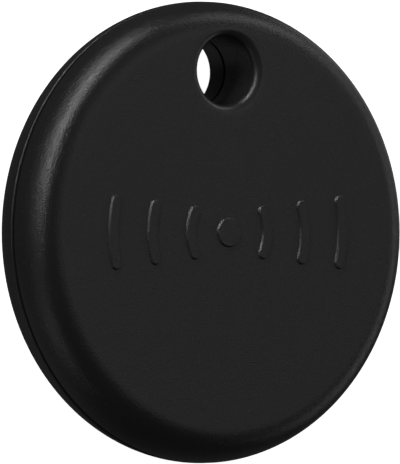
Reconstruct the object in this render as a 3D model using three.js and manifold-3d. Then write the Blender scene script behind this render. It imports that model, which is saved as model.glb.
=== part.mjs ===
// Bluetooth tracker tag for a key ring: two snap-together shells round a coin cell, a
// circuit board, a piezo sounder and a switch that clicks when the face is pressed.
// Millimetres, +Z up. The tag lies on its rear face at z = 0, face up, and its key hole
// is towards +Y.

import * as THREE from "three";
import { mergeVertices } from "three/addons/utils/BufferGeometryUtils.js";
import Module from "manifold-3d";

// Outer form
const DIAMETER = 38.8;
const THICKNESS = 7.4;
const SIDE_RADIUS = 4.6; // crown of the side band, in section
const SHOULDER_START = THREE.MathUtils.degToRad(35); // where the band turns into the shoulder
const SEAM_GAP = 0.25;
const SEAM_SHIFT = 0.2; // how far the seam lies in front of the mid-plane
const SEAM_EDGE = 0.2; // rounding of both edges along the seam

// Key hole
const KEY_HOLE_Y = 13.52;
const KEY_HOLE_RADIUS = 2.86;
const LIP_RADIUS = 0.82;
const TUBE_RADIUS = 3.7;
const TUBE_JOINT = 2.7; // where the tubes of the two halves meet, lower than the seam

// Shell walls
const FACE_WALL = 0.9;
const CAVITY_RADIUS = 17.9;
const CAVITY_CORNER = 1.4;
const LEDGE_RADIUS = 17.2; // inner radius of the ledge that carries the gasket
const LEDGE_TOP = 2.5;

// Raised mark in the middle of the face: a dot with waves on both sides
const MARK_HEIGHT = 0.18;
const MARK_STROKE = 1.05;
const MARK_DOT_RADIUS = 1.25;
const MARK_WAVES = [
  { radius: 3.9, rise: 1.75 },
  { radius: 7.8, rise: 2.2 },
  { radius: 11.7, rise: 2.6 },
];

// Coin cell, 2032 size
const CELL_Y = -4.4;
const CELL_RADIUS = 10;
const CELL_HEIGHT = 3.2;
const CELL_BOTTOM = 1.45;
const CELL_PLAY = 0.35;

// Circuit board and sounder
const BOARD_RADIUS = 16;
const BOARD_BOTTOM = 4.9;
const BOARD_THICKNESS = 0.6;
const BOARD_BITE = 4.6; // clearance radius round the key-hole tube
const PIEZO_Y = -2.4;
const PIEZO_BRASS_RADIUS = 11.8;
const PIEZO_CERAMIC_RADIUS = 9.4;

// Inner frame
const CHASSIS_RADIUS = 17;
const CHASSIS_BOTTOM = 1.5;
const CHASSIS_TOP = 4.8;
const FLANGE_RADIUS = 17.35;

// Switch, which the front cover presses
const PLUNGER_TOP = 6.3;

// Clearances
const LIE = 0.02; // between a piece and what it lies on
const MERGE = 0.2; // how far joined solids reach into each other
const SHELL_STEPS = 56;
const ROUND_STEPS = 40;
const SMALL_STEPS = 32;
const KEY_HOLE_STEPS = 48;

const HALF = THICKNESS / 2;
const RADIUS = DIAMETER / 2;
const FLOOR = FACE_WALL;
const CEILING = THICKNESS - FACE_WALL;
const BOARD_TOP = BOARD_BOTTOM + BOARD_THICKNESS;
const FRONT_SEAM = SEAM_GAP / 2 + SEAM_SHIFT; // edge heights, each from the mid-plane outwards
const REAR_SEAM = SEAM_GAP / 2 - SEAM_SHIFT;
const FRONT_TUBE_END = TUBE_JOINT + SEAM_GAP / 2 - HALF;
const REAR_TUBE_END = HALF - TUBE_JOINT + SEAM_GAP / 2;

const wasm = await Module();
wasm.setup();

// ---- Solids -------------------------------------------------------------------------

// Keeps only positions, merges shared vertices and drops triangles without area.
function weld(geometry) {
  const bare = geometry.clone();
  bare.deleteAttribute("normal");
  bare.deleteAttribute("uv");
  const merged = mergeVertices(bare, 1e-5);
  const corners = merged.index.array;
  const kept = [];
  for (let i = 0; i < corners.length; i += 3) {
    const [a, b, c] = corners.slice(i, i + 3);
    if (a !== b && b !== c && c !== a) kept.push(a, b, c);
  }
  merged.setIndex(kept);
  return merged;
}

function toSolid(geometry) {
  const welded = weld(geometry);
  const vertProperties = new Float32Array(welded.attributes.position.array);
  const triVerts = new Uint32Array(welded.index.array);
  return new wasm.Manifold(new wasm.Mesh({ numProp: 3, vertProperties, triVerts }));
}

function toGeometry(solid) {
  const { vertProperties, triVerts } = solid.getMesh();
  const geometry = new THREE.BufferGeometry();
  geometry.setAttribute("position", new THREE.BufferAttribute(vertProperties, 3));
  geometry.setIndex(new THREE.BufferAttribute(triVerts, 1));
  return geometry;
}

// Joins some geometries to the first, then cuts others away.
function carve(base, { join = [], cut = [] }) {
  let solid = toSolid(base);
  for (const piece of join) solid = solid.add(toSolid(piece));
  for (const piece of cut) solid = solid.subtract(toSolid(piece));
  return toGeometry(solid);
}

// Turns a profile of [radius, height] points about the Z axis. The profile runs up the
// outside and down the inside, so that the faces point out.
function turn(profile, steps = ROUND_STEPS) {
  const points = profile.map(([radius, height]) => new THREE.Vector2(radius, height));
  return new THREE.LatheGeometry(points, steps).rotateX(Math.PI / 2);
}

function cylinder(radius, bottom, top, steps = SMALL_STEPS) {
  const height = top - bottom;
  const geometry = new THREE.CylinderGeometry(radius, radius, height, steps);
  return geometry.rotateX(Math.PI / 2).translate(0, 0, bottom + height / 2);
}

function ring(inner, outer, bottom, top, steps = ROUND_STEPS) {
  return turn([[inner, bottom], [outer, bottom], [outer, top], [inner, top], [inner, bottom]], steps);
}

function block(low, high) {
  const size = high.map((value, axis) => value - low[axis]);
  const middle = high.map((value, axis) => (value + low[axis]) / 2);
  return new THREE.BoxGeometry(...size).translate(...middle);
}

// Points on an arc in a [radius, height] profile, both ends included.
function arc(centre, radius, from, to, steps) {
  const points = [];
  for (let i = 0; i <= steps; i += 1) {
    const angle = from + ((to - from) * i) / steps;
    points.push([centre[0] + radius * Math.cos(angle), centre[1] + radius * Math.sin(angle)]);
  }
  return points;
}

// ---- Shells -------------------------------------------------------------------------

// Outside of one half, measured from the mid-plane: from the middle of the flat face,
// over the shoulder and down the side band to the seam, whose height is given.
function outsideOfHalf(seam) {
  const quarter = Math.PI / 2;
  const sine = Math.sin(SHOULDER_START);
  const bandCentre = RADIUS - SIDE_RADIUS;
  const shoulderRadius = (HALF - SIDE_RADIUS * sine) / (1 - sine);
  const setBack = SIDE_RADIUS - shoulderRadius;
  const shoulderCentre = [bandCentre + setBack * Math.cos(SHOULDER_START), setBack * sine];
  const edgeHeight = seam + SEAM_EDGE;
  const edgeAngle = Math.asin(edgeHeight / (SIDE_RADIUS - SEAM_EDGE));
  const edgeCentre = [bandCentre + (SIDE_RADIUS - SEAM_EDGE) * Math.cos(edgeAngle), edgeHeight];
  return [
    [0, HALF],
    ...arc(shoulderCentre, shoulderRadius, quarter, SHOULDER_START, 5),
    ...arc([bandCentre, 0], SIDE_RADIUS, SHOULDER_START, edgeAngle, 3).slice(1),
    ...arc(edgeCentre, SEAM_EDGE, edgeAngle, -quarter, 2).slice(1),
  ];
}

// Inside of one half, from the seam to the axis. A ledge steps it in below the seam.
function insideOfHalf(seam, wallRadius, ledgeHeight) {
  const depth = HALF - FACE_WALL;
  const corner = [wallRadius - CAVITY_CORNER, depth - CAVITY_CORNER];
  const wall = [[CAVITY_RADIUS, seam]];
  if (wallRadius < CAVITY_RADIUS) wall.push([CAVITY_RADIUS, ledgeHeight], [wallRadius, ledgeHeight]);
  return [...wall, ...arc(corner, CAVITY_CORNER, 0, Math.PI / 2, 3), [0, depth]];
}

// The hole through one half: rounded lip at the face, rounded edge at the tube's end.
function keyHoleCutter(tubeEnd) {
  const quarter = Math.PI / 2;
  const lipCentre = [KEY_HOLE_RADIUS + LIP_RADIUS, HALF - LIP_RADIUS];
  const edgeCentre = [KEY_HOLE_RADIUS + SEAM_EDGE, tubeEnd + SEAM_EDGE];
  const profile = [
    [0, tubeEnd - 1],
    [KEY_HOLE_RADIUS + SEAM_EDGE, tubeEnd - 1],
    ...arc(edgeCentre, SEAM_EDGE, 3 * quarter, 2 * quarter, 2),
    ...arc(lipCentre, LIP_RADIUS, 2 * quarter, quarter, 5),
    [KEY_HOLE_RADIUS + LIP_RADIUS, HALF + 1],
    [0, HALF + 1],
  ];
  return turn(profile, KEY_HOLE_STEPS).translate(0, KEY_HOLE_Y, 0);
}

function keyTube(tubeEnd) {
  const top = HALF - FACE_WALL + MERGE;
  return cylinder(TUBE_RADIUS, tubeEnd, top).translate(0, KEY_HOLE_Y, 0);
}

// One half shell, made in the upper half of space, with the mid-plane at height 0.
function halfShell(seam, tubeEnd, inside, extras) {
  const profile = [...outsideOfHalf(seam), ...inside].reverse();
  const shell = turn(profile, SHELL_STEPS);
  return carve(shell, { join: [keyTube(tubeEnd), ...extras], cut: [keyHoleCutter(tubeEnd)] });
}

// One raised wave of the mark: an arc of constant width with round ends.
function waveStroke({ radius, rise }, turned) {
  const half = MARK_STROKE / 2;
  const reach = Math.asin(rise / radius);
  const end = [radius * Math.cos(reach), radius * Math.sin(reach)];
  const outline = new THREE.Shape();
  outline.absarc(0, 0, radius + half, -reach, reach, false);
  outline.absarc(end[0], end[1], half, reach, reach + Math.PI, false);
  outline.absarc(0, 0, radius - half, reach, -reach, true);
  outline.absarc(end[0], -end[1], half, Math.PI - reach, 2 * Math.PI - reach, false);
  const extrusion = { depth: MARK_HEIGHT + MERGE, bevelEnabled: false, curveSegments: 6 };
  const stroke = new THREE.ExtrudeGeometry(outline, extrusion);
  return stroke.rotateZ(turned).translate(0, 0, HALF - MERGE);
}

function raisedMark() {
  const dot = cylinder(MARK_DOT_RADIUS, HALF - MERGE, HALF + MARK_HEIGHT, 24);
  const waves = MARK_WAVES.flatMap((wave) => [waveStroke(wave, 0), waveStroke(wave, Math.PI)]);
  return [dot, ...waves];
}

// A leg with a barb that hooks the front cover under the flange of the inner frame.
function hookLeg(angle) {
  const width = 1.5;
  const legInner = 17.5;
  const barbInner = 17.12;
  const outer = CAVITY_RADIUS + MERGE / 2;
  const foot = 4.55 - HALF;
  const barbTop = 4.8 - HALF;
  const leg = block([legInner, -width, foot], [outer, width, 2.2]);
  const barb = block([barbInner, -width, foot], [legInner + MERGE, width, barbTop]);
  return [leg, barb].map((piece) => piece.rotateZ(angle));
}

function frontCover() {
  const pressBoss = cylinder(1.2, PLUNGER_TOP + LIE - HALF, CEILING - HALF + MERGE, 24);
  const legs = [15, 165, 235, 305].flatMap((angle) => hookLeg(THREE.MathUtils.degToRad(angle)));
  const inside = insideOfHalf(FRONT_SEAM, CAVITY_RADIUS);
  const extras = [pressBoss, ...legs, ...raisedMark()];
  return halfShell(FRONT_SEAM, FRONT_TUBE_END, inside, extras);
}

// The rear half has the same outside, turned over about the X axis, so the key hole of
// this shell is first mirrored to the other side.
function rearCover() {
  const inside = insideOfHalf(REAR_SEAM, LEDGE_RADIUS, HALF - LEDGE_TOP);
  const shell = halfShell(REAR_SEAM, REAR_TUBE_END, inside, []);
  return shell.rotateZ(Math.PI).rotateX(Math.PI);
}

// ---- Seal and sounder ---------------------------------------------------------------

// One silicone moulding: a ring inside the seam and a loop round the key-hole tube.
function seamGasket() {
  const bottom = LEDGE_TOP + LIE;
  const top = 4.25;
  const clearance = TUBE_RADIUS + 0.1;
  const loop = ring(clearance, 4.3, bottom, top, SMALL_STEPS).translate(0, KEY_HOLE_Y, 0);
  const loopTrim = ring(CAVITY_RADIUS - 0.1, RADIUS, bottom - 1, top + 1);
  const tubeSpace = cylinder(clearance, bottom - 1, top + 1).translate(0, KEY_HOLE_Y, 0);
  const outerRing = ring(LEDGE_RADIUS + 0.1, CAVITY_RADIUS - 0.1, bottom, top);
  return carve(outerRing, { join: [loop], cut: [loopTrim, tubeSpace] });
}

const ADHESIVE = { bottom: FLOOR + LIE, top: FLOOR + 0.1 };
const BRASS = { bottom: ADHESIVE.top + LIE, top: ADHESIVE.top + 0.2 };
const CERAMIC = { bottom: BRASS.top + LIE, top: BRASS.top + 0.14 };

// A spring pin under the board: a socket, and a slimmer tip that meets the sounder.
function springPin(tipHeight) {
  const socketRadius = 0.45;
  const tipRadius = 0.28;
  const socketBottom = 3.2;
  const top = BOARD_BOTTOM - LIE;
  const profile = [
    [0, tipHeight],
    [tipRadius * 0.6, tipHeight],
    [tipRadius, tipHeight + 0.15],
    [tipRadius, socketBottom],
    [socketRadius, socketBottom],
    [socketRadius, top],
    [0, top],
  ];
  return turn(profile, 16);
}

const PIN_PLACES = [
  { at: [0, 6.4], tip: CERAMIC.top + LIE },
  { at: [8.2, 5.7], tip: BRASS.top + LIE },
];

// ---- Inner frame and contacts --------------------------------------------------------

const PEG_PLACES = [[13.4, 3.2], [-13.4, 3.2]];
const PEG_RADIUS = 0.6;
const CONTACT_WIDTH = 3;
const STRIP = 0.2; // sheet-metal thickness of the contacts

function chassis() {
  const web = cylinder(16.3, CHASSIS_TOP - 0.9, CHASSIS_TOP, ROUND_STEPS);
  const wallInner = 15.8;
  const rimInner = BOARD_RADIUS + 0.15;
  const rimTop = BOARD_TOP - 0.2;
  const flangeBottom = CHASSIS_TOP + 0.15;
  const wall = turn([
    [wallInner, CHASSIS_BOTTOM], [CHASSIS_RADIUS - 0.5, CHASSIS_BOTTOM],
    [CHASSIS_RADIUS, CHASSIS_BOTTOM + 0.6], [CHASSIS_RADIUS, flangeBottom],
    [FLANGE_RADIUS, flangeBottom], [FLANGE_RADIUS, rimTop], [rimInner, rimTop],
    [rimInner, CHASSIS_TOP], [wallInner, CHASSIS_TOP], [wallInner, CHASSIS_BOTTOM],
  ]);
  const pocket = CELL_RADIUS + CELL_PLAY;
  const cellRing = cylinder(pocket + 0.9, CHASSIS_BOTTOM, CHASSIS_TOP, ROUND_STEPS);
  const cellSpace = cylinder(pocket, 0, THICKNESS, ROUND_STEPS);
  const tubeSpace = cylinder(BOARD_BITE, 0, THICKNESS);
  const contactSlot = block([-14.2, -2, 1], [-9.9, 2, THICKNESS]);
  const ribs = [200, 250, 290, 340].map((degrees) => {
    const rib = block([pocket + 0.4, -0.4, CHASSIS_BOTTOM + 0.6], [15.9, 0.4, CHASSIS_TOP - 0.5]);
    return rib.rotateZ(THREE.MathUtils.degToRad(degrees));
  });
  const pegs = PEG_PLACES.map(([x, y]) =>
    cylinder(PEG_RADIUS, CHASSIS_TOP - MERGE, BOARD_TOP + 0.1, 16).translate(x, y, 0));
  const pinHoles = PIN_PLACES.map(({ at }) =>
    cylinder(0.75, 0, THICKNESS, 16).translate(at[0], at[1], 0));
  const centred = [cellRing, cellSpace, contactSlot];
  for (const piece of centred) piece.translate(0, CELL_Y, 0);
  tubeSpace.translate(0, KEY_HOLE_Y, 0);
  return carve(web, {
    join: [wall, cellRing, ...ribs, ...pegs],
    cut: [cellSpace, contactSlot, tubeSpace, ...pinHoles],
  });
}

// Folded sheet strip in the XZ plane, extruded along Y to its width.
function foldedStrip(outline, width) {
  const shape = new THREE.Shape(outline.map(([x, z]) => new THREE.Vector2(x, z)));
  const strip = new THREE.ExtrudeGeometry(shape, { depth: width, bevelEnabled: false });
  return strip.rotateX(Math.PI / 2).translate(0, width / 2, 0);
}

// Foot under the board, and a leg that bows in to press on the side of the cell.
function positiveContact() {
  const foot = BOARD_BOTTOM - LIE;
  const touch = -CELL_RADIUS - 0.08;
  const outline = [
    [-13.6, foot], [-13.6, foot - STRIP], [-11.05, foot - STRIP], [touch - STRIP, 3.2],
    [-10.9, 2.1], [-10.7, 2.1], [touch, 3.2], [-10.85, foot],
  ];
  return foldedStrip(outline.reverse(), CONTACT_WIDTH);
}

// Pad under the board, and a tongue that reaches down to the cap of the cell.
function negativeContact() {
  const pad = BOARD_BOTTOM - LIE;
  const sheet = 0.1;
  const touch = CELL_BOTTOM + CELL_HEIGHT + 0.03;
  const outline = [
    [-3, pad], [-3, pad - sheet], [-1, pad - sheet], [1.5, touch], [2.6, touch],
    [3, touch + 0.06], [2.9, touch + 0.14], [2.5, touch + sheet], [1.6, touch + sheet], [-0.8, pad],
  ];
  return foldedStrip(outline.reverse(), 2);
}

// ---- Circuit board and its parts -----------------------------------------------------

function circuitBoard() {
  const disc = cylinder(BOARD_RADIUS, BOARD_BOTTOM, BOARD_TOP, ROUND_STEPS);
  const bite = cylinder(BOARD_BITE, 0, THICKNESS).translate(0, KEY_HOLE_Y, 0);
  const pegHoles = PEG_PLACES.map(([x, y]) =>
    cylinder(PEG_RADIUS + 0.15, 0, THICKNESS, 20).translate(x, y, 0));
  return carve(disc, { cut: [bite, ...pegHoles] });
}

// Parts on the board: centre on the board and size, along X, Y and Z.
const CAPACITOR = [1, 0.5, 0.5];
const RESISTOR = [1, 0.5, 0.35];
const BOARD_PARTS = {
  bluetooth_chip: { at: [7, -4.5], size: [5, 5, 0.6] },
  radio_crystal: { at: [11.6, -4.5], size: [2, 1.6, 0.5] },
  clock_crystal: { at: [7, -9.4], size: [3.2, 1.5, 0.6] },
  boost_inductor: { at: [-7.5, -5], size: [3, 3, 0.65] },
  drive_transistor: { at: [-7.5, -0.4], size: [2.4, 1.3, 0.6] },
  chip_antenna: { at: [-10.2, 8], size: [3.2, 1.6, 0.5] },
};
const CAPACITOR_PLACES = [[3.2, -5.6], [3.2, -4.4], [11.6, -2.6], [11.6, -6.4], [7, -0.9], [-4.2, -5]];
const RESISTOR_PLACES = [[-7.6, 5.8], [-4.2, -0.4], [-10.6, -0.4], [3.2, -8]];
CAPACITOR_PLACES.forEach((at, i) => {
  BOARD_PARTS[`capacitor_${i + 1}`] = { at, size: CAPACITOR };
});
RESISTOR_PLACES.forEach((at, i) => {
  BOARD_PARTS[`resistor_${i + 1}`] = { at, size: RESISTOR };
});

// Low tact switch: a base with a well, a sheet-metal frame over it, and the plunger.
const SWITCH = { x: 3.4, y: 2.8, bottom: BOARD_TOP + LIE, top: BOARD_TOP + 0.42, well: 0.85 };

function switchBase() {
  const { x, y, bottom, top, well } = SWITCH;
  const body = block([-x / 2, -y / 2, bottom], [x / 2, y / 2, top]);
  return carve(body, { cut: [cylinder(well, bottom + 0.1, top + 1, 24)] });
}

function switchFrame() {
  const { x, y, top, well } = SWITCH;
  const bottom = top + LIE;
  const plate = block([-x / 2, -y / 2, bottom], [x / 2, y / 2, bottom + 0.08]);
  return carve(plate, { cut: [cylinder(well, 0, THICKNESS, 24)] });
}

function switchPlunger() {
  const bottom = BOARD_TOP + 0.35;
  const top = PLUNGER_TOP;
  const radius = 0.75;
  return turn([[0, bottom], [radius, bottom], [radius, top - 0.08], [radius - 0.12, top], [0, top]], 24);
}

// ---- Coin cell, negative cap up ------------------------------------------------------

const CELL_TOP = CELL_BOTTOM + CELL_HEIGHT;
const CAN_WALL = 0.25;
const CAP_RADIUS = 8.9;

function cellCan() {
  const edge = 0.3;
  const top = CELL_TOP - 0.35;
  const crimp = 9.45;
  const inner = CELL_RADIUS - CAN_WALL;
  const profile = [
    [0, CELL_BOTTOM],
    ...arc([CELL_RADIUS - edge, CELL_BOTTOM + edge], edge, -Math.PI / 2, 0, 3),
    [CELL_RADIUS, top - 0.35],
    [crimp + 0.1, top],
    [crimp, top - 0.15],
    [inner, top - 0.45],
    [inner, CELL_BOTTOM + CAN_WALL],
    [0, CELL_BOTTOM + CAN_WALL],
  ];
  return turn(profile);
}

function cellSeal() {
  const bottom = CELL_BOTTOM + CAN_WALL + LIE;
  const outer = CELL_RADIUS - CAN_WALL - 0.05;
  const inner = CAP_RADIUS + 0.05;
  const top = CELL_TOP - 0.3;
  const profile = [
    [inner, bottom], [outer, bottom], [outer, top - 0.6], [inner + 0.4, top - 0.2],
    [inner + 0.3, top], [inner, top], [inner, bottom],
  ];
  return turn(profile);
}

// The cap, closed below: it also stands for the cell's sealed contents.
function cellCap() {
  const bottom = CELL_BOTTOM + CAN_WALL + LIE;
  const edge = 0.3;
  return turn([
    [0, bottom],
    [CAP_RADIUS, bottom],
    ...arc([CAP_RADIUS - edge, CELL_TOP - edge], edge, 0, Math.PI / 2, 3),
    [0, CELL_TOP],
  ]);
}

// ---- Materials and assembly ----------------------------------------------------------

const FINISHES = {
  shell: { color: 0x1f1f20, roughness: 0.55, metalness: 0 },
  frame: { color: 0x2b2c2e, roughness: 0.6, metalness: 0 },
  silicone: { color: 0x3b3d40, roughness: 0.8, metalness: 0 },
  adhesive: { color: 0xd8c9a0, roughness: 0.7, metalness: 0 },
  brass: { color: 0xc7a24d, roughness: 0.35, metalness: 1 },
  ceramic: { color: 0xcfd0cc, roughness: 0.45, metalness: 0.6 },
  gold: { color: 0xd9b45a, roughness: 0.3, metalness: 1 },
  steel: { color: 0xb9bcc0, roughness: 0.3, metalness: 1 },
  board: { color: 0x14351f, roughness: 0.45, metalness: 0 },
  chip: { color: 0x18191b, roughness: 0.5, metalness: 0 },
  lid: { color: 0xb4b6b8, roughness: 0.35, metalness: 1 },
  antenna: { color: 0xe3e4df, roughness: 0.5, metalness: 0 },
  capacitor: { color: 0x9a7b5a, roughness: 0.5, metalness: 0 },
  nylon: { color: 0x4a4c50, roughness: 0.6, metalness: 0 },
  plunger: { color: 0xd9d6cc, roughness: 0.5, metalness: 0 },
};

function piece(name, geometry, finish) {
  const mesh = new THREE.Mesh(geometry, new THREE.MeshStandardMaterial(FINISHES[finish]));
  mesh.name = name;
  mesh.geometry.computeVertexNormals();
  return mesh;
}

function placed(mesh, x, y, z) {
  mesh.position.set(x, y, z);
  return mesh;
}

const PART_FINISHES = {
  bluetooth_chip: "chip",
  radio_crystal: "lid",
  clock_crystal: "lid",
  boost_inductor: "chip",
  drive_transistor: "chip",
  chip_antenna: "antenna",
};

function boardPart(name, { at, size }) {
  const [kind] = name.split("_");
  const finish = PART_FINISHES[name] ?? (kind === "capacitor" ? "capacitor" : "chip");
  const mesh = piece(name, new THREE.BoxGeometry(...size), finish);
  return placed(mesh, at[0], at[1], BOARD_TOP + LIE + size[2] / 2);
}

function rearHalf() {
  const brass = cylinder(PIEZO_BRASS_RADIUS, BRASS.bottom, BRASS.top, ROUND_STEPS);
  const ceramic = cylinder(PIEZO_CERAMIC_RADIUS, CERAMIC.bottom, CERAMIC.top, ROUND_STEPS);
  const glue = ring(PIEZO_CERAMIC_RADIUS, PIEZO_BRASS_RADIUS, ADHESIVE.bottom, ADHESIVE.top);
  return new THREE.Group().add(
    placed(piece("rear_cover", rearCover(), "shell"), 0, 0, HALF),
    piece("seam_gasket", seamGasket(), "silicone"),
    placed(piece("piezo_adhesive_ring", glue, "adhesive"), 0, PIEZO_Y, 0),
    placed(piece("piezo_brass_disc", brass, "brass"), 0, PIEZO_Y, 0),
    placed(piece("piezo_ceramic_disc", ceramic, "ceramic"), 0, PIEZO_Y, 0),
  );
}

function core() {
  const pins = PIN_PLACES.map(({ at, tip }, i) =>
    placed(piece(`piezo_pin_${i + 1}`, springPin(tip), "gold"), at[0], at[1], 0));
  const parts = Object.entries(BOARD_PARTS).map(([name, part]) => boardPart(name, part));
  return new THREE.Group().add(
    piece("chassis", chassis(), "frame"),
    piece("circuit_board", circuitBoard(), "board"),
    placed(piece("positive_contact", positiveContact(), "steel"), 0, CELL_Y, 0),
    placed(piece("negative_contact", negativeContact(), "steel"), 0, CELL_Y, 0),
    piece("switch_base", switchBase(), "chip"),
    piece("switch_frame", switchFrame(), "steel"),
    ...pins,
    ...parts,
  );
}

function coinCell() {
  const cell = new THREE.Group().add(
    piece("coin_cell_can", cellCan(), "steel"),
    piece("coin_cell_seal", cellSeal(), "nylon"),
    piece("coin_cell_cap", cellCap(), "steel"),
  );
  return placed(cell, 0, CELL_Y, 0);
}

function face() {
  return new THREE.Group().add(
    placed(piece("front_cover", frontCover(), "shell"), 0, 0, HALF),
    piece("switch_plunger", switchPlunger(), "plunger"),
  );
}

export default new THREE.Group().add(rearHalf(), core(), coinCell(), face());
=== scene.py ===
"""The looks of a round bluetooth tracker tag for a key ring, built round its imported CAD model.

The file follows the tag as it is put together: the studio, the rear cover with its
sounder and seal, the inner frame with the circuit board, the coin cell, and last the
front cover. Lengths are in millimetres until a mesh is made, and +Y is towards the key hole.
"""

import math

import bmesh
import bpy
import numpy as np
from mathutils import Matrix, Vector


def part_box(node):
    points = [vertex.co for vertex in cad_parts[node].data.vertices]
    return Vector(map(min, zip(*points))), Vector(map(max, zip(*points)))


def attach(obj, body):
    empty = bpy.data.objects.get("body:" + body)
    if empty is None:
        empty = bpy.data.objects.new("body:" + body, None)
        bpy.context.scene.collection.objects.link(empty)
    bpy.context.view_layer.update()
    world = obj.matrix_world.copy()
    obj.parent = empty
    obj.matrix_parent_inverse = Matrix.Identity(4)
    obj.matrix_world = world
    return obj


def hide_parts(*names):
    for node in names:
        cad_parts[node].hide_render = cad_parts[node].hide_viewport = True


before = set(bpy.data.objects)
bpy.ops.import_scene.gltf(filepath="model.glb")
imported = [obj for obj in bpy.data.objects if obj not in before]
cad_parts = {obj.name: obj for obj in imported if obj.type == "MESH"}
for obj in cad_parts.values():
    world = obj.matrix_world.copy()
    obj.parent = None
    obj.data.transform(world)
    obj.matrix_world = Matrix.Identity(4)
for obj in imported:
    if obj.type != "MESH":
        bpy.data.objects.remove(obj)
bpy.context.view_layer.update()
MM = 0.001

# ---- Camera ----------------------------------------------------------------------------
# The tag lies on its rear face, and the camera looks at it from 35 degrees to the left of
# the front face's normal, with the key hole at the top of the picture. The lens is long,
# so that the rim is seen almost without perspective.

VIEW_ANGLE = math.radians(35)
VIEW_DISTANCE = 600 * MM
VIEW_HEIGHT = 38.98 * MM
SENSOR = 36

CASE_THICKNESS = 7.4

rear_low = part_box("rear_cover")[0]
mid_plane = rear_low.z + CASE_THICKNESS / 2 * MM
FRAMING = (-0.29 * MM, 0.03 * MM)

backward = Vector((-math.sin(VIEW_ANGLE), 0, math.cos(VIEW_ANGLE)))
upward = Vector((0, 1, 0))
sideways = upward.cross(backward)
view_target = Vector((0, 0, mid_plane)) + sideways * FRAMING[0] + upward * FRAMING[1]
camera_data = bpy.data.cameras.new("camera")
camera_data.sensor_width = SENSOR
camera_data.lens = SENSOR * VIEW_DISTANCE / VIEW_HEIGHT
camera_data.clip_start = 10 * MM
camera = bpy.data.objects.new("camera", camera_data)
turn = Matrix((sideways, upward, backward)).transposed().to_4x4()
camera.matrix_world = Matrix.Translation(view_target + backward * VIEW_DISTANCE) @ turn
bpy.context.scene.collection.objects.link(camera)
bpy.context.scene.camera = camera
bpy.context.scene.view_settings.view_transform = "Standard"

# ---- Studio ----------------------------------------------------------------------------
# A pale table, a dim sky and soft boxes. A long narrow one beyond the key hole to the left
# draws the band of light along the shoulder; the weak ones that shine from below stand for
# the glow of the table, which casts no shadow itself.


def soft_box(name, direction, along, distance, length, width, power):
    """An oblong area light that faces the tag from a direction, its length along a vector."""
    data = bpy.data.lights.new(name, "AREA")
    data.shape = "RECTANGLE"
    data.size = length * MM
    data.size_y = width * MM
    data.energy = power
    light = bpy.data.objects.new(name, data)
    light.visible_camera = False
    towards = Vector(direction).normalized()
    lengthwise = Vector(along) - towards * towards.dot(Vector(along))
    lengthwise.normalize()
    facing = Matrix((lengthwise, towards.cross(lengthwise), towards)).transposed()
    place = Matrix.Translation(Vector((0, 0, mid_plane)) + towards * distance * MM)
    light.matrix_world = place @ facing.to_4x4()
    bpy.context.scene.collection.objects.link(light)


soft_box("key_light", (-0.55, 0.77, 0.32), (-0.64, -0.6, 0.28), 445, 620, 28, 1.5)
soft_box("front_fill", (0.45, 0.2, 0.87), (0, 1, 0), 500, 420, 420, 0.215)
soft_box("left_fill", (-0.74, -0.62, 0.12), (-0.62, 0.74, 0), 400, 200, 80, 0.055)
soft_box("left_sheen", (-0.95, 0.12, 0.3), (0, 1, 0), 400, 180, 60, 0.05)
soft_box("right_light", (0.93, 0.02, 0.22), (0, 1, 0), 400, 540, 110, 0.17)
soft_box("top_right", (0.62, 0.72, 0.16), (0.72, -0.62, 0), 450, 260, 120, 0.16)
soft_box("left_glow", (-0.45, -0.6, -0.65), (-0.65, 0.45, 0), 400, 350, 350, 0.03)
soft_box("right_glow", (0.86, 0.28, -0.45), (0, 1, 0), 400, 220, 180, 0.035)

sky = bpy.data.worlds.new("sky")
sky.use_nodes = True
sky.node_tree.nodes["Background"].inputs["Color"].default_value = (1, 1, 1, 1)
sky.node_tree.nodes["Background"].inputs["Strength"].default_value = 0.04
bpy.context.scene.world = sky

bpy.ops.mesh.primitive_plane_add(size=3, location=(0, 0, rear_low.z - 0.05 * MM))
table = bpy.context.object
table.name = "table"
table_paint = bpy.data.materials.new("table_paint")
table_paint.use_nodes = True
table_shader = table_paint.node_tree.nodes["Principled BSDF"]
table_shader.inputs["Base Color"].default_value = (0.8, 0.8, 0.8, 1)
table_shader.inputs["Roughness"].default_value = 0.9
table_shader.inputs["Emission Color"].default_value = (1, 1, 1, 1)
table_shader.inputs["Emission Strength"].default_value = 1.0
table.data.materials.append(table_paint)
table.visible_diffuse = False
table.visible_glossy = False
table.visible_shadow = False

# ---- Rear cover ------------------------------------------------------------------------
# The lower half of the case: one injection moulding in black ABS with a fine spark grain.
# It has a flat floor, a rounded rim, the lower half of the key-hole tube and a ledge for
# the seal. The two halves of the case share the form outside, so its rings are made here.

SEGMENTS = 176
HALF_THICKNESS = CASE_THICKNESS / 2
RIM_RADIUS = 19.4
BAND_CROWN = 4.6
SHOULDER_START = math.radians(35)
REAR_SEAM = -0.075
FRONT_SEAM = 0.325
REAR_TUBE_END = 1.105
FRONT_TUBE_END = -0.895
SEAM_EDGE = 0.2
TUBE_EDGE = 0.08
HOLE_Y = 13.52
HOLE_RADIUS = 2.86
LIP = 0.82
LIP_BLEND = 0.06
TUBE_RADIUS = 3.7
FACE_WALL = 0.9
CAVITY_RADIUS = 17.9
CAVITY_CORNER = 1.4
LEDGE_RADIUS = 17.2
LEDGE_FOOT = 0.7
LEDGE_TOP = 2.5
LIP_BAND_REACH = 0.55

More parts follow.
